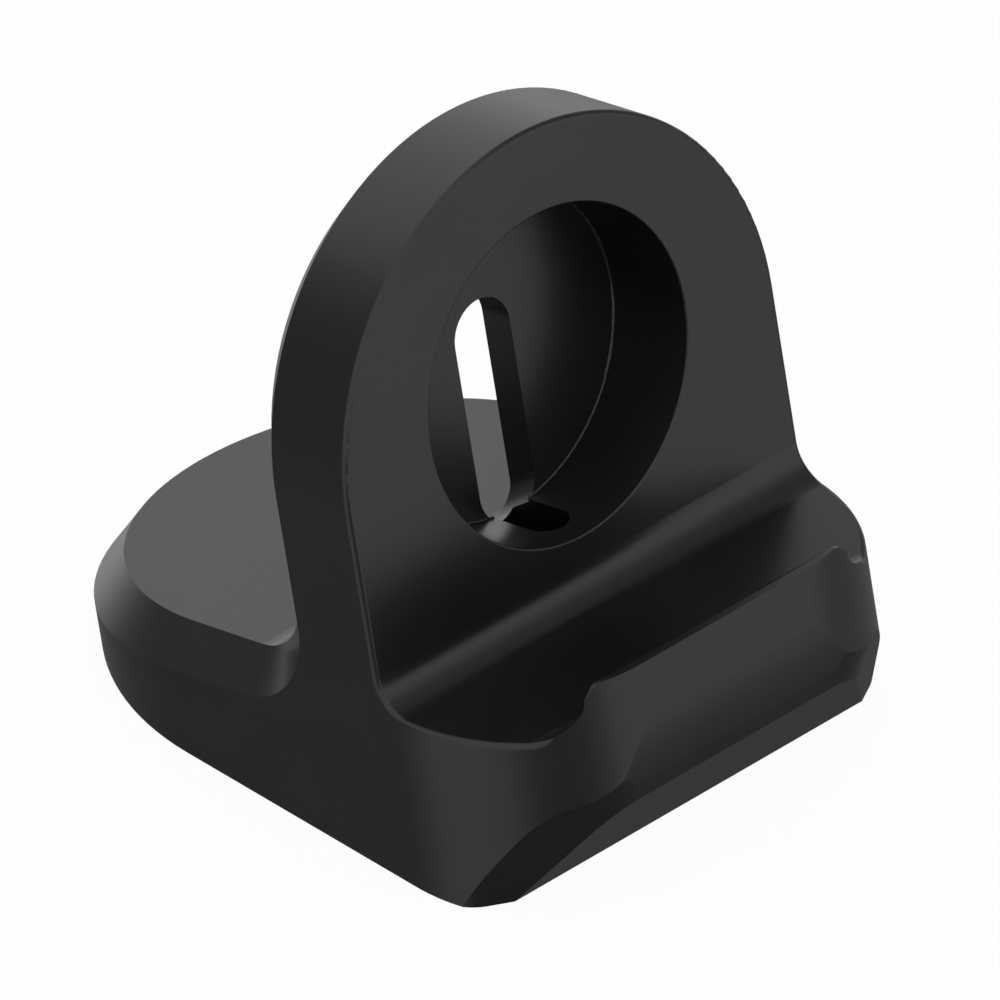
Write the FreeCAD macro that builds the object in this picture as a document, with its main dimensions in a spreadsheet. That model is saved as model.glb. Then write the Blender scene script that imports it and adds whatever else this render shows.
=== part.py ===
import FreeCAD, Part

import math
import os

import Sketcher

Vector = FreeCAD.Vector

# The dock is one moulded silicone body. Its upright arch holds a charging
# puck in a round pocket, a trough in front of the arch takes the watch, and a
# low rounded tail behind it carries the weight. The arch, its front face and
# the tail lean back together, while the underside, the trough floor and the
# skirt at the front are level and upright.

# Driving dimensions in millimetres, and the lean in degrees.
# Across: X. Front to back: Y. Up: Z. A size along the lean is said to be.
DIMENSIONS = [
    ("lean", 11.7, "backward lean of the arch, the front and the tail"),
    ("width", 47.0, "overall width, and the diameter of the arch and the tail"),
    ("arch_drop", 2.35, "centre of the arch's round top below the pocket's centre"),
    ("arch_depth", 11.55, "front face to back face of the arch"),
    ("front_setback", 14.95, "front face of the body before the arch's face"),
    ("front_corner", 14.1, "radius of the leaning front corners"),
    ("crease_height", 12.1, "height where the leaning front meets the skirt"),
    ("front_blend", 25.0, "radius that smooths that meeting"),
    ("sweep_angle", 28.0, "turn of the skirt's wide sweep towards each side"),
    ("sweep_radius", 12.0, "radius of that sweep"),
    ("low_inset", 16.8, "start of the sweep in from the side, at the bottom"),
    ("high_inset", 11.2, "start of the sweep in from the side, at the top"),
    ("low_corner", 4.0, "radius of the corner after the sweep, at the bottom"),
    ("high_corner", 8.0, "radius of the corner after the sweep, at the top"),
    ("skirt_low", 8.15, "height of the lower edge of the skirt"),
    ("undercut_run", 5.16, "how far the undercut goes in below the skirt"),
    ("floor_height", 15.1, "height of the trough's level floor"),
    ("foot_fillet", 3.1, "fillet between that floor and the arch"),
    ("toe_fillet", 2.4, "fillet between that floor and the lip"),
    ("lip_rise", 4.35, "rise of the lip above the trough's floor"),
    ("lip_thickness", 1.0, "thickness of that lip across the lean"),
    ("lip_inset", 10.8, "end of the lip's level part in from the side"),
    ("fall_angle", 44.0, "slope of the lip's fall to the floor at each end"),
    ("fall_round", 1.5, "radius at the top and the foot of that fall"),
    ("rim_round", 0.45, "round of the outer rim of the arch, trough and lip"),
    ("lip_round", 0.35, "round of the lip's inner edge"),
    ("tail_height", 15.6, "top of the tail, along the lean"),
    ("tail_centre", 24.65, "centre of the tail's round end, across the lean"),
    ("tail_fillet", 5.1, "fillet between the tail and the arch's back"),
    ("bevel_side", 3.15, "rear bevel, measured down the side walls"),
    ("bevel_across", 2.9, "rear bevel, measured across the top and the back"),
    ("puck_radius", 14.0, "radius of the puck's pocket"),
    ("puck_depth", 8.4, "depth of the puck's pocket"),
    ("puck_gap", 4.88, "lowest point of the pocket above the trough's floor"),
    ("mouth_round", 0.15, "round of the pocket's mouth"),
    ("seam_fillet", 0.2, "fillet round the pocket's back wall"),
    ("slot_width", 6.0, "width of the slot through the pocket's back wall"),
    ("slot_above", 4.6, "top of that slot above the pocket's centre"),
    ("slot_below", 0.8, "bottom of that slot below the pocket's lowest point"),
    ("slot_drop", 1.6, "how much lower that bottom is at the arch's back"),
    ("channel_width", 3.8, "width of the lead's channel down from the pocket"),
    ("channel_front", 2.5, "front of that channel, behind the arch's face"),
    ("channel_back", 10.4, "back of that channel, behind the arch's face"),
    ("groove_height", 3.2, "height of the lead's groove under the tail"),
]

doc = FreeCAD.newDocument("charging_dock")
sheet = doc.addObject("Spreadsheet::Sheet", "dims")
for row, (alias, number, meaning) in enumerate(DIMENSIONS, start=1):
    sheet.set("A%d" % row, alias)
    sheet.set("B%d" % row, str(number))
    sheet.set("C%d" % row, meaning)
    sheet.setAlias("B%d" % row, alias)
doc.recompute()


class Size:
    """A number together with the sheet formula that drives it."""

    def __init__(self, number, formula=None):
        self.number = float(number)
        self.formula = formula or repr(float(number))

    def joined(self, other, sign, number):
        return Size(number, "(%s %s %s)" % (self.formula, sign, other.formula))

    def __add__(self, other):
        return self.joined(other, "+", self.number + other.number)

    def __sub__(self, other):
        return self.joined(other, "-", self.number - other.number)

    def __mul__(self, other):
        return self.joined(other, "*", self.number * other.number)

    def __truediv__(self, other):
        return self.joined(other, "/", self.number / other.number)

    def __neg__(self):
        return Size(-self.number, "(0 - %s)" % self.formula)


def dim(alias):
    """Returns a driving dimension from the sheet."""
    return Size(sheet.get(alias), "dims.%s" % alias)


def smaller(one, two):
    """Returns the smaller of two sizes, with the formula that picks it."""
    formula = "min(%s; %s)" % (one.formula, two.formula)
    return Size(min(one.number, two.number), formula)


NOTHING = Size(0)
HALF = Size(0.5)
ONE = Size(1)
CLEAR = Size(4)


def sine(angle):
    """Returns the sine of an angle in degrees, with its formula."""
    return Size(math.sin(math.radians(angle.number)), "sin(%s)" % angle.formula)


def cosine(angle):
    """Returns the cosine of an angle in degrees, with its formula."""
    return Size(math.cos(math.radians(angle.number)), "cos(%s)" % angle.formula)


def tangent(angle):
    """Returns the tangent of an angle in degrees, with its formula."""
    return sine(angle) / cosine(angle)


lean = dim("lean")
lean_sin = sine(lean)
lean_cos = cosine(lean)
lean_tan = tangent(lean)

# The pocket stands above the trough's floor, and the arch and the slot follow it.
half_width = dim("width") * HALF
tail_end = dim("tail_centre") + half_width
lip_height = dim("floor_height") + dim("lip_rise")
pocket_low = dim("floor_height") / lean_cos + dim("puck_gap")
puck_centre = pocket_low + dim("puck_radius")
arch_centre = puck_centre - dim("arch_drop")
arch_top = arch_centre + half_width


def leaning(depth, rise):
    """Returns Y and Z of a point at a depth across and a rise along the lean."""
    along = depth * lean_cos + rise * lean_sin
    up = rise * lean_cos - depth * lean_sin
    return along, up


def leaning_at(depth, height):
    """Returns Y and Z of the point of a leaning plane at a level height."""
    rise = (height + depth * lean_sin) / lean_cos
    return depth * lean_cos + rise * lean_sin, height


body = doc.addObject("PartDesign::Body", "dock_body")
body.Label = "dock_body"


def new_sketch(name, role, leans=False, offset=None):
    """Adds a sketch on one of the body's own planes, leaning if asked."""
    plane = None
    for item in body.Origin.OriginFeatures:
        if item.Role == role:
            plane = item
    sketch = body.newObject("Sketcher::SketchObject", name)
    sketch.AttachmentSupport = [(plane, "")]
    sketch.MapMode = "FlatFace"
    base = Vector(0, 0, 0)
    turn = FreeCAD.Rotation()
    if leans:
        turn = FreeCAD.Rotation(Vector(-1, 0, 0), lean.number)
    if offset is not None:
        base = turn.multVec(Vector(0, 0, offset.number))
    sketch.AttachmentOffset = FreeCAD.Placement(base, turn)
    if leans:
        sketch.setExpression("AttachmentOffset.Rotation.Angle", lean.formula)
    if offset is not None and leans:
        sketch.setExpression("AttachmentOffset.Base.y", (offset * lean_sin).formula)
        sketch.setExpression("AttachmentOffset.Base.z", (offset * lean_cos).formula)
    if offset is not None and not leans:
        sketch.setExpression("AttachmentOffset.Base.z", offset.formula)
    return sketch


def hold(sketch, kind, geometry, position, size):
    """Ties one coordinate of a sketch point to a size."""
    if size.number == 0:
        axis = -2 if kind == "DistanceX" else -1
        sketch.addConstraint(Sketcher.Constraint("PointOnObject", geometry, position, axis))
        return
    constraint = Sketcher.Constraint(kind, -1, 1, geometry, position, size.number)
    index = sketch.addConstraint(constraint)
    sketch.setExpression("Constraints[%d]" % index, size.formula)


def outline(sketch, corners, arcs=None):
    """Draws a closed outline through the corners.

    arcs maps the number of a side to its centre, the coordinate of the centre
    that is held, and whether the side runs clockwise about it.
    """
    arcs = arcs or {}
    ends = []
    count = len(corners)
    for number in range(count):
        start = Vector(corners[number][0].number, corners[number][1].number, 0)
        after = corners[(number + 1) % count]
        end = Vector(after[0].number, after[1].number, 0)
        if number not in arcs:
            index = sketch.addGeometry(Part.LineSegment(start, end), False)
            ends.append((index, 1, 2))
            continue
        (across, up), held, clockwise = arcs[number]
        middle = Vector(across.number, up.number, 0)
        first, last = (end, start) if clockwise else (start, end)
        circle = Part.Circle(middle, Vector(0, 0, 1), (start - middle).Length)
        begin = math.atan2(first.y - middle.y, first.x - middle.x)
        finish = math.atan2(last.y - middle.y, last.x - middle.x)
        if finish <= begin:
            finish = finish + 2 * math.pi
        index = sketch.addGeometry(Part.ArcOfCircle(circle, begin, finish), False)
        ends.append((index, 2, 1) if clockwise else (index, 1, 2))
    for number in range(count):
        index, start, end = ends[number]
        next_index, next_start, next_end = ends[(number + 1) % count]
        sketch.addConstraint(
            Sketcher.Constraint("Coincident", index, end, next_index, next_start)
        )
        hold(sketch, "DistanceX", index, start, corners[number][0])
        hold(sketch, "DistanceY", index, start, corners[number][1])
        if number in arcs:
            (across, up), held, clockwise = arcs[number]
            if held == "across":
                hold(sketch, "DistanceX", index, 3, across)
            else:
                hold(sketch, "DistanceY", index, 3, up)


def through(sketch, name):
    """Cuts everything in front of and behind a sketch."""
    before = body.Tip.Shape.Volume
    cut = body.newObject("PartDesign::Pocket", name)
    cut.Profile = sketch
    cut.Type = "ThroughAll"
    cut.SideType = "Symmetric"
    doc.recompute()
    if cut.Shape.Volume >= before:
        raise RuntimeError("%s cut nothing" % name)
    return cut


def cut_length(sketch, name, length, reversed_way):
    """Cuts a given length from a sketch, one way or the other."""
    before = body.Tip.Shape.Volume
    cut = body.newObject("PartDesign::Pocket", name)
    cut.Profile = sketch
    cut.Type = "Length"
    cut.Length = length.number
    cut.setExpression("Length", length.formula)
    cut.Reversed = reversed_way
    doc.recompute()
    if cut.Shape.Volume >= before:
        raise RuntimeError("%s cut nothing" % name)
    return cut


def edges_where(feature, test):
    """Returns the names of a feature's edges whose middle point passes a test."""
    names = []
    for number, edge in enumerate(feature.Shape.Edges, start=1):
        middle = edge.valueAt((edge.FirstParameter + edge.LastParameter) / 2)
        if test(edge, middle):
            names.append("Edge%d" % number)
    return names


def near_point(point_size):
    """Returns a test for an edge that passes through a point at mid width."""
    spot = Part.Vertex(0, point_size[0].number, point_size[1].number)

    def test(edge, middle):
        return edge.distToShape(spot)[0] < 0.01

    return test


def along_width(point_size):
    """Returns a test for the long edge across the body through one point."""
    across, up = point_size

    def test(edge, middle):
        if edge.Length < half_width.number:
            return False
        return math.hypot(middle.y - across.number, middle.z - up.number) < 0.01

    return test


def fillet(name, names, radius):
    """Rounds or fills the named edges of the body's last feature."""
    last = body.Tip
    if not names:
        raise RuntimeError("%s has no edge" % name)
    feature = body.newObject("PartDesign::Fillet", name)
    feature.Base = (last, names)
    feature.Radius = radius.number
    feature.setExpression("Radius", radius.formula)
    doc.recompute()
    return feature


# The side view, drawn once across the whole width. It gives the underside, the
# undercut, the skirt, the lip, the trough, the arch and the tail.
front = -dim("front_setback")
lip_inner = front + dim("lip_thickness")
crease = leaning_at(front, dim("crease_height"))
skirt_y = crease[0]
lip_outer_point = leaning_at(front, lip_height)
lip_inner_point = leaning_at(lip_inner, lip_height)
toe_point = leaning_at(lip_inner, dim("floor_height"))
foot_point = leaning_at(NOTHING, dim("floor_height"))
back_foot_point = leaning(dim("arch_depth"), dim("tail_height"))
side_corners = [
    leaning_at(tail_end + CLEAR, NOTHING),
    (skirt_y + dim("undercut_run"), NOTHING),
    (skirt_y, dim("skirt_low")),
    crease,
    lip_outer_point,
    lip_inner_point,
    toe_point,
    foot_point,
    leaning(NOTHING, arch_top + CLEAR),
    leaning(dim("arch_depth"), arch_top + CLEAR),
    back_foot_point,
    leaning(tail_end + CLEAR, dim("tail_height")),
]
side_sketch = new_sketch("side_view", "YZ_Plane")
outline(side_sketch, side_corners)
side = body.newObject("PartDesign::Pad", "side_body")
side.Profile = side_sketch
side.Length = dim("width").number
side.setExpression("Length", dim("width").formula)
side.SideType = "Symmetric"
doc.recompute()

# The blends that run straight across the body. Each is held inside its walls.
skirt_rise = dim("crease_height") - dim("skirt_low")
crease_room = skirt_rise * Size(0.9) / tangent(lean * HALF)
fillet("front_blend", edges_where(body.Tip, along_width(crease)),
       smaller(dim("front_blend"), crease_room))
fillet("foot_fillet", edges_where(body.Tip, along_width(foot_point)), dim("foot_fillet"))
fillet("toe_fillet", edges_where(body.Tip, along_width(toe_point)),
       smaller(dim("toe_fillet"), dim("lip_rise") * Size(0.6)))
fillet("tail_fillet", edges_where(body.Tip, along_width(back_foot_point)),
       dim("tail_fillet"))
fillet("lip_inner_round", edges_where(body.Tip, along_width(lip_inner_point)),
       dim("lip_round"))

# The plan across the lean: rounded front corners and the round end of the tail.
outer = half_width + CLEAR
beyond_front = front - CLEAR
beyond_tail = tail_end + CLEAR + CLEAR
corner = dim("front_corner")
plan_sketch = new_sketch("leaning_plan", "XY_Plane", leans=True)
for way in (ONE, -ONE):
    clockwise = way.number < 0
    outline(
        plan_sketch,
        [
            (way * (half_width - corner), front),
            (way * half_width, front + corner),
            (way * outer, front + corner),
            (way * outer, beyond_front),
            (way * (half_width - corner), beyond_front),
        ],
        {0: ((way * (half_width - corner), front + corner), "across", clockwise)},
    )
outline(
    plan_sketch,
    [
        (half_width, dim("tail_centre")),
        (-half_width, dim("tail_centre")),
        (-outer, dim("tail_centre")),
        (-outer, beyond_tail),
        (outer, beyond_tail),
        (outer, dim("tail_centre")),
    ],
    {0: ((NOTHING, dim("tail_centre")), "up", False)},
)
through(plan_sketch, "leaning_corners")

# The corners of the skirt, lofted from the bottom to just above the crease. Each
# level has a wide sweep, a straight run and a corner, and the corner is tighter
# and further in at the bottom. They cross the leaning corners in one curved edge
# that falls from the front to the sides.
sweep = dim("sweep_angle")
sweep_radius = dim("sweep_radius")
skirt_top = dim("crease_height") + HALF


def skirt_offcut(name, way, inset, corner, height):
    """Draws what a skirt corner loses at one level, on one side."""
    start = half_width - inset
    sweep_end = start + sweep_radius * sine(sweep)
    sweep_end_y = skirt_y + sweep_radius * (ONE - cosine(sweep))
    corner_start = half_width - corner * (ONE - sine(sweep))
    corner_start_y = sweep_end_y + tangent(sweep) * (corner_start - sweep_end)
    corner_end_y = corner_start_y + corner * cosine(sweep)
    clockwise = way.number < 0
    sketch = new_sketch(name, "XY_Plane", offset=height)
    outline(
        sketch,
        [
            (way * start, skirt_y),
            (way * sweep_end, sweep_end_y),
            (way * corner_start, corner_start_y),
            (way * half_width, corner_end_y),
            (way * outer, corner_end_y),
            (way * outer, skirt_y - CLEAR),
            (way * start, skirt_y - CLEAR),
        ],
        {
            0: ((way * start, skirt_y + sweep_radius), "across", clockwise),
            2: ((way * (half_width - corner), corner_end_y), "up", clockwise),
        },
    )
    return sketch


def loft_cut(name, first, second):
    """Cuts the ruled loft between two sketches."""
    before = body.Tip.Shape.Volume
    loft = body.newObject("PartDesign::SubtractiveLoft", name)
    loft.Profile = first
    loft.Sections = [second]
    loft.Ruled = True
    body.Tip = loft
    doc.recompute()
    if loft.Shape.Volume >= before:
        raise RuntimeError("%s cut nothing" % name)
    return loft


for side_name, way in (("right", ONE), ("left", -ONE)):
    low_sketch = skirt_offcut("skirt_low_" + side_name, way,
                              dim("low_inset"), dim("low_corner"), NOTHING)
    high_sketch = skirt_offcut("skirt_high_" + side_name, way,
                               dim("high_inset"), dim("high_corner"), skirt_top)
    loft_cut("skirt_corner_" + side_name, low_sketch, high_sketch)

# The round top of the arch.
arch_sketch = new_sketch("arch_view", "XZ_Plane", leans=True)
outline(
    arch_sketch,
    [
        (half_width, arch_centre),
        (-half_width, arch_centre),
        (-outer, arch_centre),
        (-outer, arch_top + CLEAR + CLEAR),
        (outer, arch_top + CLEAR + CLEAR),
        (outer, arch_centre),
    ],
    {0: ((NOTHING, arch_centre), "up", False)},
)
through(arch_sketch, "arch_top")

# Both ends of the lip fall to the trough floor along a slope with a round at its
# top and at its foot.
fall = dim("fall_angle")
fall_radius = smaller(dim("fall_round"), dim("lip_rise") * HALF)
round_run = fall_radius * sine(fall)
round_drop = fall_radius * (ONE - cosine(fall))
slope_run = (dim("lip_rise") - round_drop - round_drop) / tangent(fall)
fall_start = half_width - dim("lip_inset")
slope_start = fall_start + round_run
slope_end = slope_start + slope_run
fall_end = slope_end + round_run
trough_middle = (toe_point[0] + foot_point[0]) * HALF
ends_sketch = new_sketch("lip_ends", "XZ_Plane", offset=-trough_middle)
for way in (ONE, -ONE):
    clockwise = way.number > 0
    outline(
        ends_sketch,
        [
            (way * fall_start, lip_height),
            (way * slope_start, lip_height - round_drop),
            (way * slope_end, dim("floor_height") + round_drop),
            (way * fall_end, dim("floor_height")),
            (way * outer, dim("floor_height")),
            (way * outer, lip_height + CLEAR),
            (way * fall_start, lip_height + CLEAR),
        ],
        {
            0: ((way * fall_start, lip_height - fall_radius), "across", clockwise),
            2: ((way * fall_end, dim("floor_height") + fall_radius), "across", not clockwise),
        },
    )
cut_length(ends_sketch, "lip_falls", trough_middle - front, True)

# The outer rim is one smooth loop, up and over the arch, along the trough's
# ends and round the lip. It is picked by its arc at the top of the arch.
rim_top = leaning(NOTHING, arch_top)
rim_names = edges_where(body.Tip, near_point(rim_top))
fillet("rim_round", rim_names, dim("rim_round"))

# The rear bevel is one smooth loop too: over the back of the arch, down to the
# tail and round its end. The side walls give up more than the top and back.
tail_wall = dim("tail_height") - tail_end * lean_tan
bevel_side = smaller(dim("bevel_side"), tail_wall * Size(0.9))
back_top = leaning(dim("arch_depth"), arch_top)
bevel_names = edges_where(body.Tip, near_point(back_top))
last = body.Tip
bevel = body.newObject("PartDesign::Chamfer", "rear_bevel")
bevel.Base = (last, bevel_names)
bevel.ChamferType = "Two distances"
bevel.Size = bevel_side.number
bevel.Size2 = dim("bevel_across").number
bevel.setExpression("Size", bevel_side.formula)
bevel.setExpression("Size2", dim("bevel_across").formula)
bevel.FlipDirection = False
doc.recompute()

# The round pocket for the puck, in the arch's front face, with its seam and
# mouth softened.
pocket_sketch = new_sketch("puck_view", "XZ_Plane", leans=True)
puck_circle = Part.Circle(Vector(0, puck_centre.number, 0), Vector(0, 0, 1),
                          dim("puck_radius").number)
circle_index = pocket_sketch.addGeometry(puck_circle, False)
hold(pocket_sketch, "DistanceX", circle_index, 3, NOTHING)
hold(pocket_sketch, "DistanceY", circle_index, 3, puck_centre)
radius_index = pocket_sketch.addConstraint(
    Sketcher.Constraint("Radius", circle_index, dim("puck_radius").number)
)
pocket_sketch.setExpression("Constraints[%d]" % radius_index, dim("puck_radius").formula)
cut_length(pocket_sketch, "puck_pocket", dim("puck_depth"), False)
seam_point = leaning(dim("puck_depth"), puck_centre + dim("puck_radius"))
fillet("seam_fillet", edges_where(body.Tip, near_point(seam_point)), dim("seam_fillet"))
mouth_point = leaning(NOTHING, puck_centre + dim("puck_radius"))
fillet("mouth_round", edges_where(body.Tip, near_point(mouth_point)), dim("mouth_round"))

# The slot through the pocket's back wall. Its lower end slopes down towards the
# tail, so it is drawn at the pocket and again behind the arch.
slot_radius = dim("slot_width") * HALF
slot_high = puck_centre + dim("slot_above") - slot_radius
slot_low = pocket_low - dim("slot_below") + slot_radius
slot_slope = dim("slot_drop") / (dim("arch_depth") - dim("puck_depth"))
slot_behind = dim("arch_depth") + dim("tail_fillet") * HALF


def slot_view(name, depth):
    """Draws the slot's outline at a depth behind the arch's face."""
    low = slot_low - slot_slope * (depth - dim("puck_depth"))
    sketch = new_sketch(name, "XZ_Plane", leans=True, offset=-depth)
    outline(
        sketch,
        [
            (slot_radius, low),
            (slot_radius, slot_high),
            (-slot_radius, slot_high),
            (-slot_radius, low),
        ],
        {
            1: ((NOTHING, slot_high), "up", False),
            3: ((NOTHING, low), "up", False),
        },
    )
    return sketch


loft_cut("slot", slot_view("slot_at_pocket", dim("puck_depth")),
         slot_view("slot_behind_arch", slot_behind))

# The lead's channel runs from the pocket's lowest point down along the lean,
# with a round front end, to a groove under the tail that leads out behind.
channel_half = dim("channel_width") * HALF
channel_top = pocket_low + dim("mouth_round") + HALF
channel_sketch = new_sketch("channel_plan", "XY_Plane", leans=True, offset=channel_top)
channel_centre = dim("channel_front") + channel_half
outline(
    channel_sketch,
    [
        (channel_half, channel_centre),
        (channel_half, dim("channel_back")),
        (-channel_half, dim("channel_back")),
        (-channel_half, channel_centre),
    ],
    {3: ((NOTHING, channel_centre), "up", False)},
)
before = body.Tip.Shape.Volume
channel = body.newObject("PartDesign::Pocket", "lead_channel")
channel.Profile = channel_sketch
channel.Type = "ThroughAll"
doc.recompute()
if channel.Shape.Volume >= before:
    raise RuntimeError("the channel cut nothing")

groove_sketch = new_sketch("groove_plan", "XY_Plane")
groove_start = dim("channel_back") / lean_cos - channel_half
groove_end = tail_end + CLEAR + CLEAR
outline(
    groove_sketch,
    [
        (-channel_half, groove_start),
        (channel_half, groove_start),
        (channel_half, groove_end),
        (-channel_half, groove_end),
    ],
)
cut_length(groove_sketch, "lead_groove", dim("groove_height"), True)

# The dock stands on z = 0 with the middle of its footprint's box at the origin.
rear_most = leaning(tail_end, dim("tail_height") - bevel_side)[0]
middle = (skirt_y + rear_most) * HALF
body.Placement = FreeCAD.Placement(Vector(0, -middle.number, 0), FreeCAD.Rotation())
body.setExpression("Placement.Base.y", (-middle).formula)
doc.recompute()

for item in doc.Objects:
    if "Invalid" in item.State or "Error" in item.State:
        raise RuntimeError("%s did not build: %s" % (item.Name, item.State))
if body.Shape.isNull() or not body.Shape.isValid():
    raise RuntimeError("the body's shape is not valid")
if len(body.Shape.Solids) != 1:
    raise RuntimeError("the body is not one solid")

os.makedirs("parts", exist_ok=True)
body.Shape.exportStep(os.path.join("parts", body.Label + ".step"))
box = body.Shape.optimalBoundingBox()
print("dock_body: %.2f x %.2f x %.2f mm, %.0f cubic mm" % (
    box.XLength, box.YLength, box.ZLength, body.Shape.Volume))
print("Y from %.3f to %.3f, Z from %.3f to %.3f" % (box.YMin, box.YMax, box.ZMin, box.ZMax))
print("origin stands %.4f mm behind the foot of the arch's face" % middle.number)
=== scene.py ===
"""Studio scene of a one-piece silicone charging dock for a wrist watch."""

import logging
import math
from dataclasses import dataclass, field
from enum import Enum

import bpy
from mathutils import Matrix, Vector

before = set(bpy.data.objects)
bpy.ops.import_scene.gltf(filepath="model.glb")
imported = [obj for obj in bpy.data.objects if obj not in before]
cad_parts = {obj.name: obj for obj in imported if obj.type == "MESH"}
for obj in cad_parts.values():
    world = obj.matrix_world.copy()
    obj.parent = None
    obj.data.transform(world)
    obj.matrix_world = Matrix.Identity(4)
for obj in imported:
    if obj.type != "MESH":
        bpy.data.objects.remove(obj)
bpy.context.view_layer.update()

logging.basicConfig(level=logging.INFO, format="%(levelname)s %(message)s")
LOG = logging.getLogger("charging_dock")

Colour = tuple[float, float, float]

WHITE: Colour = (1.0, 1.0, 1.0)
PICTURE_WIDTH = 1000.0

# Sockets of a Mix node that mixes colours.
MIX_FACTOR = 0
MIX_FIRST = 6
MIX_SECOND = 7
MIX_COLOUR = 2


class Seen(Enum):
    """The kinds of ray that may see a surface's plain backdrop colour."""

    CAMERA = "Is Camera Ray"
    GLOSSY = "Is Glossy Ray"
    TRANSMISSION = "Is Transmission Ray"


@dataclass(frozen=True)
class SiliconeFinish:
    """The moulded black silicone of the whole dock.

    Colours are linear, scales are cycles per metre and depths are metres.
    """

    name: str = "moulded_black_silicone"
    deep: Colour = (0.0052, 0.0052, 0.0055)
    pale: Colour = (0.0070, 0.0070, 0.0074)
    cloud_scale: float = 90.0
    grain_scale: float = 5200.0
    grain_depth: float = 0.0000035
    grain_strength: float = 0.5
    rough_low: float = 0.26
    rough_high: float = 0.32
    ior: float = 1.5


@dataclass(frozen=True)
class PaperFinish:
    """The pale seamless paper that the dock stands on."""

    name: str = "seamless_paper"
    colour: Colour = (0.82, 0.82, 0.82)
    fibre: Colour = (0.80, 0.80, 0.80)
    fibre_scale: float = 60.0
    backdrop: Colour = WHITE


@dataclass(frozen=True)
class Panel:
    """One soft card or flag of the studio, as the dock's surface mirrors it.

    Angles are degrees. The azimuth grows from straight in front to the dock's
    right. The panel is whole within one angle of its middle and gone beyond the
    other, and its level is 1 for white.
    """

    azimuth: float
    elevation: float
    inside: float
    outside: float
    level: float


def towards(azimuth: float, elevation: float) -> Vector:
    """Works out the direction of a place in the studio, seen from the dock.

    Args:
        azimuth: Degrees from straight in front, growing to the dock's right.
        elevation: Degrees above the floor.

    Returns:
        The unit direction.
    """
    turn = math.radians(azimuth)
    rise = math.radians(elevation)
    level = math.cos(rise)
    return Vector((math.sin(turn) * level, -math.cos(turn) * level, math.sin(rise)))


def new_material(name: str) -> tuple[bpy.types.Material, bpy.types.NodeTree]:
    """Makes an empty node material.

    Args:
        name: The material's name.

    Returns:
        The material and its cleared node tree.
    """
    material = bpy.data.materials.new(name)
    material.use_nodes = True
    material.node_tree.nodes.clear()
    return material, material.node_tree


def new_group(
    name: str, inputs: dict[str, float | Colour], outputs: dict[str, str]
) -> bpy.types.NodeTree:
    """Makes an empty shader node group.

    Args:
        name: The group's name.
        inputs: Each input's name and default, a number or a colour.
        outputs: Each output's name and socket type.

    Returns:
        The group, with its Group Input and Group Output nodes in place.
    """
    group = bpy.data.node_groups.new(name, "ShaderNodeTree")
    group.interface.new_socket("Place", in_out="INPUT", socket_type="NodeSocketVector")
    for label, default in inputs.items():
        kind = "NodeSocketColor" if isinstance(default, tuple) else "NodeSocketFloat"
        socket = group.interface.new_socket(label, in_out="INPUT", socket_type=kind)
        socket.default_value = (*default, 1.0) if isinstance(default, tuple) else default
    for label, kind in outputs.items():
        group.interface.new_socket(label, in_out="OUTPUT", socket_type=kind)
    group.nodes.new("NodeGroupInput").name = "in"
    group.nodes.new("NodeGroupOutput").name = "out"
    return group


def clouded_tone_group(
    detail: float = 3.0, roughness: float = 0.45, edges: tuple[float, float] = (0.35, 0.65)
) -> bpy.types.NodeTree:
    """Builds the group that drifts between two tones in soft clouds.

    Args:
        detail: How many finer layers the clouds have.
        roughness: How strong those layers are.
        edges: Noise levels at which a cloud starts and is whole.

    Returns:
        A group with a Colour output.
    """
    group = new_group(
        "clouded_tone",
        {"Deep": (0.0, 0.0, 0.0), "Pale": WHITE, "Scale": 50.0},
        {"Colour": "NodeSocketColor"},
    )
    nodes, links = group.nodes, group.links
    noise = nodes.new("ShaderNodeTexNoise")
    noise.inputs["Detail"].default_value = detail
    noise.inputs["Roughness"].default_value = roughness
    spread = nodes.new("ShaderNodeMapRange")
    spread.interpolation_type = "SMOOTHSTEP"
    spread.inputs["From Min"].default_value = edges[0]
    spread.inputs["From Max"].default_value = edges[1]
    mix = nodes.new("ShaderNodeMix")
    mix.data_type = "RGBA"
    links.new(nodes["in"].outputs["Place"], noise.inputs["Vector"])
    links.new(nodes["in"].outputs["Scale"], noise.inputs["Scale"])
    links.new(noise.outputs["Fac"], spread.inputs["Value"])
    links.new(spread.outputs["Result"], mix.inputs[MIX_FACTOR])
    links.new(nodes["in"].outputs["Deep"], mix.inputs[MIX_FIRST])
    links.new(nodes["in"].outputs["Pale"], mix.inputs[MIX_SECOND])
    links.new(mix.outputs[MIX_COLOUR], nodes["out"].inputs["Colour"])
    return group


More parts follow.
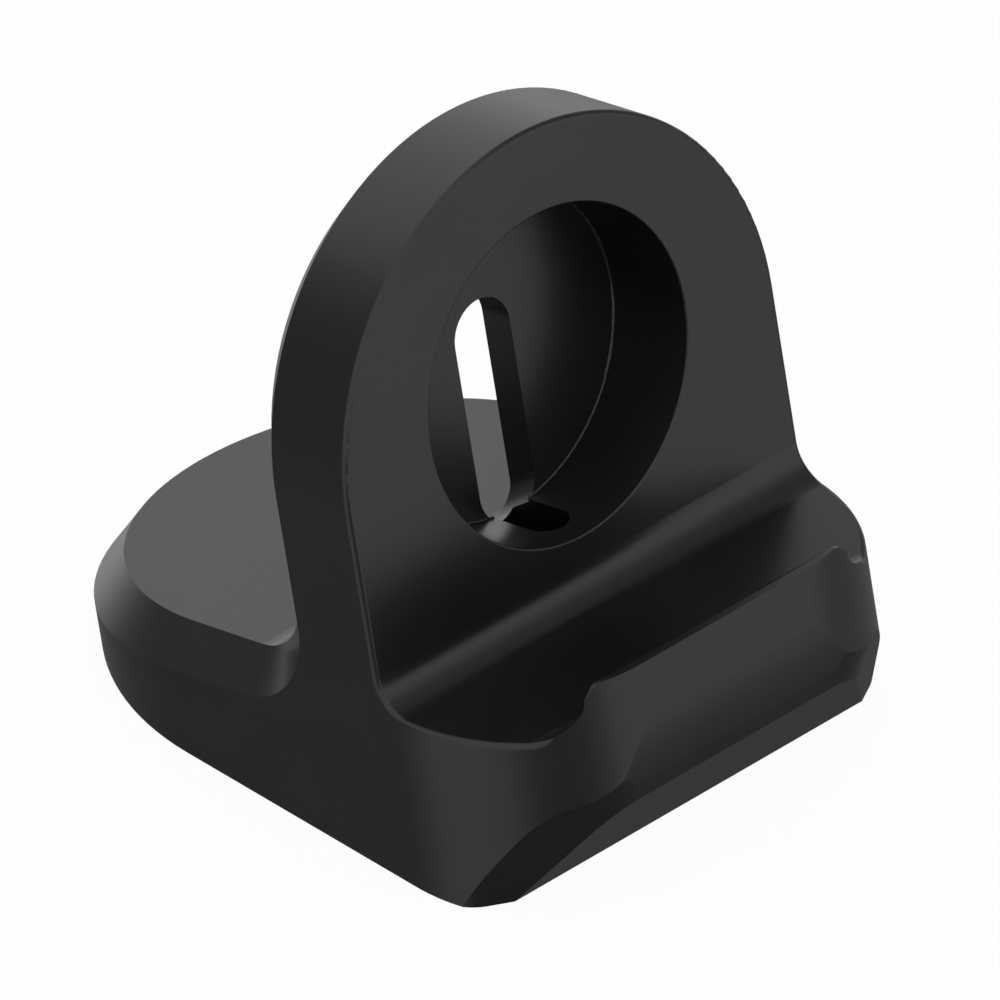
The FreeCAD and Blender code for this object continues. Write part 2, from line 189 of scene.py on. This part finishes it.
def moulded_grain_group(
    detail: float = 2.0, roughness: float = 0.6, pit_share: float = 0.5
) -> bpy.types.NodeTree:
    """Builds the group for the fine spark-eroded grain a mould leaves.

    Args:
        detail: How many finer layers the grain has.
        roughness: How strong those layers are.
        pit_share: Height of the pits against that of the grain.

    Returns:
        A group with a Roughness output and the grain's Height, from 0 to 1.
    """
    group = new_group(
        "moulded_grain",
        {"Scale": 5000.0, "Low": 0.3, "High": 0.4},
        {"Roughness": "NodeSocketFloat", "Height": "NodeSocketFloat"},
    )
    nodes, links = group.nodes, group.links
    fine = nodes.new("ShaderNodeTexNoise")
    fine.inputs["Detail"].default_value = detail
    fine.inputs["Roughness"].default_value = roughness
    pits = nodes.new("ShaderNodeTexVoronoi")
    pits.feature = "F1"
    blend = nodes.new("ShaderNodeMath")
    blend.operation = "MULTIPLY_ADD"
    blend.inputs[1].default_value = pit_share
    level = nodes.new("ShaderNodeMapRange")
    links.new(nodes["in"].outputs["Place"], fine.inputs["Vector"])
    links.new(nodes["in"].outputs["Place"], pits.inputs["Vector"])
    links.new(nodes["in"].outputs["Scale"], fine.inputs["Scale"])
    links.new(nodes["in"].outputs["Scale"], pits.inputs["Scale"])
    links.new(pits.outputs["Distance"], blend.inputs[0])
    links.new(fine.outputs["Fac"], blend.inputs[2])
    links.new(fine.outputs["Fac"], level.inputs["Value"])
    links.new(nodes["in"].outputs["Low"], level.inputs["To Min"])
    links.new(nodes["in"].outputs["High"], level.inputs["To Max"])
    links.new(level.outputs["Result"], nodes["out"].inputs["Roughness"])
    links.new(blend.outputs["Value"], nodes["out"].inputs["Height"])
    return group


@dataclass
class DockBody:
    """The dock itself: one moulded piece, taken over from the CAD model."""

    node: str = "dock_body"
    finish: SiliconeFinish = field(default_factory=SiliconeFinish)

    def material(self) -> bpy.types.Material:
        """Builds the silicone from its clouded tone and its moulded grain.

        Returns:
            The finished material.
        """
        finish = self.finish
        material, tree = new_material(finish.name)
        nodes, links = tree.nodes, tree.links
        place = nodes.new("ShaderNodeTexCoord")
        tone = nodes.new("ShaderNodeGroup")
        tone.node_tree = clouded_tone_group()
        tone.inputs["Deep"].default_value = (*finish.deep, 1.0)
        tone.inputs["Pale"].default_value = (*finish.pale, 1.0)
        tone.inputs["Scale"].default_value = finish.cloud_scale
        grain = nodes.new("ShaderNodeGroup")
        grain.node_tree = moulded_grain_group()
        grain.inputs["Scale"].default_value = finish.grain_scale
        grain.inputs["Low"].default_value = finish.rough_low
        grain.inputs["High"].default_value = finish.rough_high
        bump = nodes.new("ShaderNodeBump")
        bump.inputs["Strength"].default_value = finish.grain_strength
        bump.inputs["Distance"].default_value = finish.grain_depth
        shader = nodes.new("ShaderNodeBsdfPrincipled")
        shader.inputs["IOR"].default_value = finish.ior
        out = nodes.new("ShaderNodeOutputMaterial")
        for group in (tone, grain):
            links.new(place.outputs["Object"], group.inputs["Place"])
        links.new(tone.outputs["Colour"], shader.inputs["Base Color"])
        links.new(grain.outputs["Roughness"], shader.inputs["Roughness"])
        links.new(grain.outputs["Height"], bump.inputs["Height"])
        links.new(bump.outputs["Normal"], shader.inputs["Normal"])
        links.new(shader.outputs["BSDF"], out.inputs["Surface"])
        return material

    def dress(self) -> None:
        """Gives the CAD node its silicone."""
        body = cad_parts[self.node]
        material = self.material()
        body.data.materials.clear()
        body.data.materials.append(material)
        LOG.info("%s dressed in %s", self.node, material.name)


@dataclass
class Studio:
    """The paper floor, the soft light and the camera at the photograph's angle.

    Lengths are metres and angles are degrees. The panels follow the shading in
    the photograph, and the camera was fitted to the dock's edges in it.
    """

    paper: PaperFinish = field(default_factory=PaperFinish)
    floor_size: float = 6.0
    world_level: float = 0.9
    mirrored_white: float = 1.0
    backdrop_share: float = 0.96
    corner_flag: Panel = Panel(91.0, -24.0, 31.0, 52.0, 0.42)
    dim_below: Panel = Panel(0.0, -90.0, 49.0, 78.0, 0.13)
    side_card: Panel = Panel(-92.0, -30.0, 14.0, 37.0, 0.80)
    front_flag: Panel = Panel(-21.0, -18.0, 11.0, 37.0, 0.24)
    rear_flag: Panel = Panel(-141.0, -5.0, 22.0, 48.0, 0.21)
    right_flag: Panel = Panel(92.0, 38.0, 20.0, 44.0, 0.30)
    azimuth: float = -44.5527
    elevation: float = 34.5386
    roll: float = -0.2163
    target: Vector = field(default_factory=lambda: Vector((0.0, -0.0184564, 0.028)))
    shift_right: float = 0.0095402
    shift_up: float = 0.0023654
    distance: float = 1.81604
    pixels_per_metre: float = 12742.005
    sensor_width: float = 36.0
    clip_start: float = 0.05
    clip_end: float = 50.0

    def seen_mask(
        self, tree: bpy.types.NodeTree, kinds: tuple[Seen, ...], share: float = 1.0
    ) -> bpy.types.NodeSocket:
        """Adds up kinds of ray, each with the same share.

        Args:
            tree: The node tree to build in.
            kinds: The kinds of ray that see the colour.
            share: How much of that colour each of them sees.

        Returns:
            The socket that carries the sum, from 0 to 1.
        """
        path = tree.nodes.new("ShaderNodeLightPath")
        total: bpy.types.NodeSocket | None = None
        for kind in kinds:
            part = tree.nodes.new("ShaderNodeMath")
            part.operation = "MULTIPLY_ADD"
            part.use_clamp = True
            part.inputs[1].default_value = share
            part.inputs[2].default_value = 0.0
            tree.links.new(path.outputs[kind.value], part.inputs[0])
            if total is not None:
                tree.links.new(total, part.inputs[2])
            total = part.outputs["Value"]
        return total

    def paper_material(self) -> bpy.types.Material:
        """Builds paper that the camera sees as white and that keeps a shadow.

        Returns:
            The finished material.
        """
        paper = self.paper
        material, tree = new_material(paper.name)
        nodes, links = tree.nodes, tree.links
        place = nodes.new("ShaderNodeTexCoord")
        fibre = nodes.new("ShaderNodeTexNoise")
        fibre.inputs["Scale"].default_value = paper.fibre_scale
        tone = nodes.new("ShaderNodeMix")
        tone.data_type = "RGBA"
        tone.inputs[MIX_FIRST].default_value = (*paper.colour, 1.0)
        tone.inputs[MIX_SECOND].default_value = (*paper.fibre, 1.0)
        matt = nodes.new("ShaderNodeBsdfDiffuse")
        white = nodes.new("ShaderNodeEmission")
        white.inputs["Color"].default_value = (*paper.backdrop, 1.0)
        mix = nodes.new("ShaderNodeMixShader")
        out = nodes.new("ShaderNodeOutputMaterial")
        links.new(place.outputs["Object"], fibre.inputs["Vector"])
        links.new(fibre.outputs["Fac"], tone.inputs[MIX_FACTOR])
        links.new(tone.outputs[MIX_COLOUR], matt.inputs["Color"])
        mask = self.seen_mask(tree, (Seen.CAMERA, Seen.TRANSMISSION), self.backdrop_share)
        links.new(mask, mix.inputs[0])
        links.new(matt.outputs[0], mix.inputs[1])
        links.new(white.outputs[0], mix.inputs[2])
        links.new(mix.outputs[0], out.inputs["Surface"])
        return material

    def lay_floor(self) -> None:
        """Lays the paper flat under the dock, out of sight of its mirrored rays."""
        bpy.ops.object.select_all(action="DESELECT")
        bpy.ops.mesh.primitive_plane_add(size=self.floor_size, location=(0.0, 0.0, 0.0))
        floor = bpy.context.object
        floor.name = "paper_floor"
        floor.data.materials.append(self.paper_material())
        floor.visible_glossy = False
        LOG.info("floor laid, %.1f m across", self.floor_size)

    def panel_mask(self, tree: bpy.types.NodeTree, panel: Panel) -> bpy.types.NodeSocket:
        """Finds how far a ray looks into a panel, with soft edges.

        Args:
            tree: The world's node tree.
            panel: The panel to look for.

        Returns:
            The socket that carries the mask, from 0 to 1.
        """
        place = tree.nodes.new("ShaderNodeTexCoord")
        turn = tree.nodes.new("ShaderNodeVectorMath")
        turn.operation = "DOT_PRODUCT"
        turn.inputs[1].default_value = towards(panel.azimuth, panel.elevation)
        step = tree.nodes.new("ShaderNodeMapRange")
        step.interpolation_type = "SMOOTHSTEP"
        step.inputs["From Min"].default_value = math.cos(math.radians(panel.outside))
        step.inputs["From Max"].default_value = math.cos(math.radians(panel.inside))
        tree.links.new(place.outputs["Generated"], turn.inputs[0])
        tree.links.new(turn.outputs["Value"], step.inputs["Value"])
        return step.outputs["Result"]

    def mirrored_level(self, tree: bpy.types.NodeTree) -> bpy.types.NodeSocket:
        """Builds the room that the silicone mirrors, white with soft panels.

        Each panel lies over the ones before it.

        Args:
            tree: The world's node tree.

        Returns:
            The socket that carries the level in a ray's direction.
        """
        white = tree.nodes.new("ShaderNodeValue")
        white.outputs["Value"].default_value = self.mirrored_white
        level = white.outputs["Value"]
        panels = (
            self.corner_flag, self.dim_below, self.side_card, self.front_flag,
            self.rear_flag, self.right_flag,
        )
        for panel in panels:
            blend = tree.nodes.new("ShaderNodeMix")
            blend.inputs["B"].default_value = panel.level
            tree.links.new(self.panel_mask(tree, panel), blend.inputs["Factor"])
            tree.links.new(level, blend.inputs["A"])
            level = blend.outputs["Result"]
        return level

    def background(self, tree: bpy.types.NodeTree, strength: float) -> bpy.types.Node:
        """Adds a plain white background to the world's tree.

        Args:
            tree: The world's node tree.
            strength: The background's level.

        Returns:
            The new node.
        """
        node = tree.nodes.new("ShaderNodeBackground")
        node.inputs["Color"].default_value = (*self.paper.backdrop, 1.0)
        node.inputs["Strength"].default_value = strength
        return node

    def light_world(self) -> None:
        """Fills the room with even soft light.

        The camera sees white, and the dock's surface mirrors the panels.
        """
        world = bpy.data.worlds.new("soft_room")
        bpy.context.scene.world = world
        world.use_nodes = True
        tree = world.node_tree
        tree.nodes.clear()
        even = self.background(tree, self.world_level)
        mirrored = self.background(tree, self.mirrored_white)
        white = self.background(tree, 1.0)
        glossy = tree.nodes.new("ShaderNodeMixShader")
        seen = tree.nodes.new("ShaderNodeMixShader")
        out = tree.nodes.new("ShaderNodeOutputWorld")
        tree.links.new(self.mirrored_level(tree), mirrored.inputs["Strength"])
        tree.links.new(self.seen_mask(tree, (Seen.GLOSSY,)), glossy.inputs[0])
        tree.links.new(even.outputs[0], glossy.inputs[1])
        tree.links.new(mirrored.outputs[0], glossy.inputs[2])
        tree.links.new(self.seen_mask(tree, (Seen.CAMERA, Seen.TRANSMISSION)), seen.inputs[0])
        tree.links.new(glossy.outputs[0], seen.inputs[1])
        tree.links.new(white.outputs[0], seen.inputs[2])
        tree.links.new(seen.outputs[0], out.inputs["Surface"])
        LOG.info("world lit at %.2f", self.world_level)

    def place_camera(self) -> None:
        """Sets the camera at the photograph's angle, distance and framing."""
        turn = math.radians(self.azimuth)
        back = towards(self.azimuth, self.elevation)
        level_right = Vector((math.cos(turn), math.sin(turn), 0.0))
        level_up = back.cross(level_right)
        tilt = math.radians(self.roll)
        right = level_right * math.cos(tilt) + level_up * math.sin(tilt)
        up = level_up * math.cos(tilt) - level_right * math.sin(tilt)
        data = bpy.data.cameras.new("studio_camera")
        camera = bpy.data.objects.new("studio_camera", data)
        bpy.context.scene.collection.objects.link(camera)
        data.sensor_width = self.sensor_width
        data.lens = self.pixels_per_metre * self.distance / PICTURE_WIDTH * self.sensor_width
        data.clip_start = self.clip_start
        data.clip_end = self.clip_end
        spot = self.target - right * self.shift_right - up * self.shift_up + back * self.distance
        turned = Matrix((right, up, back)).transposed().to_4x4()
        camera.matrix_world = Matrix.Translation(spot) @ turned
        bpy.context.scene.camera = camera
        LOG.info("camera %.3f m away, lens %.0f mm", self.distance, data.lens)

    def build(self) -> None:
        """Sets up the floor, the light, the camera and the plain view."""
        self.lay_floor()
        self.light_world()
        self.place_camera()
        bpy.context.scene.view_settings.view_transform = "Standard"


def main() -> None:
    """Dresses the dock and builds the studio round it."""
    DockBody().dress()
    Studio().build()


if __name__ == "__main__":
    main()
